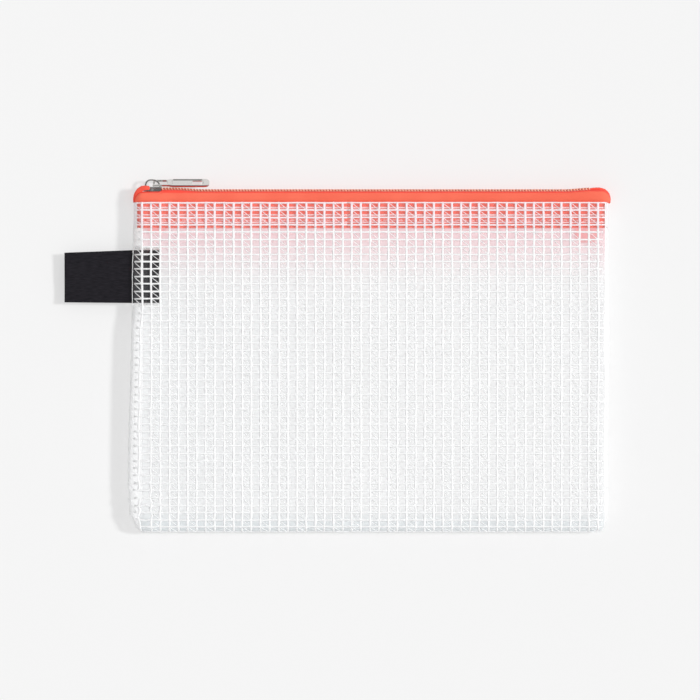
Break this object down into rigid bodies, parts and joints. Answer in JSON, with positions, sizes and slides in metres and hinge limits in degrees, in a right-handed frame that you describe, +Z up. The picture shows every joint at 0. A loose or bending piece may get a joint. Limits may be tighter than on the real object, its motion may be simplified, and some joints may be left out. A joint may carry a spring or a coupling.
{
  "type": "zippered mesh pouch",
  "caption": "Flat see-through grid mesh pouch with a coil zipper along its top edge, a metal slider with a hanging pull, and a folded ribbon label in the left seam.",
  "frame": {"origin": "middle of the flat face of the back panel that the pouch rests on", "axes": "+X to the right along the zipper, +Y from the bottom fold towards the zipper, +Z up through the front panel"},
  "size_m": [0.2292, 0.1489, 0.01],
  "materials": {
    "mesh_film": "clear milky film laminated over a white woven grid",
    "coral_tape": "coral herringbone polyester tape",
    "coral_coil": "coral nylon monofilament, slightly glossy",
    "nickel": "bright nickel plate on zinc",
    "black_satin": "black woven satin ribbon with heat-cut edges"
  },
  "bodies": {
    "bag": {"front_panel": "mesh_film", "back_panel": "mesh_film", "back_hem": "mesh_film", "bottom_seam": "mesh_film", "right_seam": "mesh_film", "left_seam_lower": "mesh_film", "left_seam_upper": "mesh_film", "back_tape": "coral_tape", "left_tape_end": "coral_tape", "right_tape_end": "coral_tape", "front_tail_left": "coral_tape", "front_tail_right": "coral_tape", "back_tail_left": "coral_tape", "back_tail_right": "coral_tape", "back_coil": "coral_coil", "label_tail": "black_satin"},
    "front_rim": {"front_hem": "mesh_film", "front_tape": "coral_tape", "front_coil": "coral_coil"},
    "slider": {"slider_body": "nickel", "slider_crown": "nickel"},
    "pull": {"pull_tab": "nickel"},
    "label": {"label_tab": "black_satin"}
  },
  "joints": [
    {"name": "slider_slide", "type": "slide", "parent": "bag", "child": "slider", "axis": [1, 0, 0], "range_m": [0, 0.166], "deforming": ["back_coil", "front_coil", "front_tape"]},
    {"name": "mouth_open", "type": "hinge", "parent": "bag", "child": "front_rim", "pos_m": [0, 0.0587, 0.009], "axis": [1, 0, 0], "range_deg": [0, 36]},
    {"name": "pull_swing", "type": "hinge", "parent": "slider", "child": "pull", "pos_m": [-0.0914, 0.07763, 0.0045], "axis": [0, -0.5878, 0.809], "range_deg": [0, 180]},
    {"name": "label_fold", "type": "hinge", "parent": "bag", "child": "label", "pos_m": [-0.10055, 0.0383, 0.0045], "axis": [0, 1, 0], "range_deg": [-8, 100], "stiffness_Nm_per_rad": 0.0015, "springref_deg": 0.57}
  ],
  "couplings": [
    {"joint": "mouth_open", "follows": "slider_slide", "rad_per_m": 3.68}
  ]
}
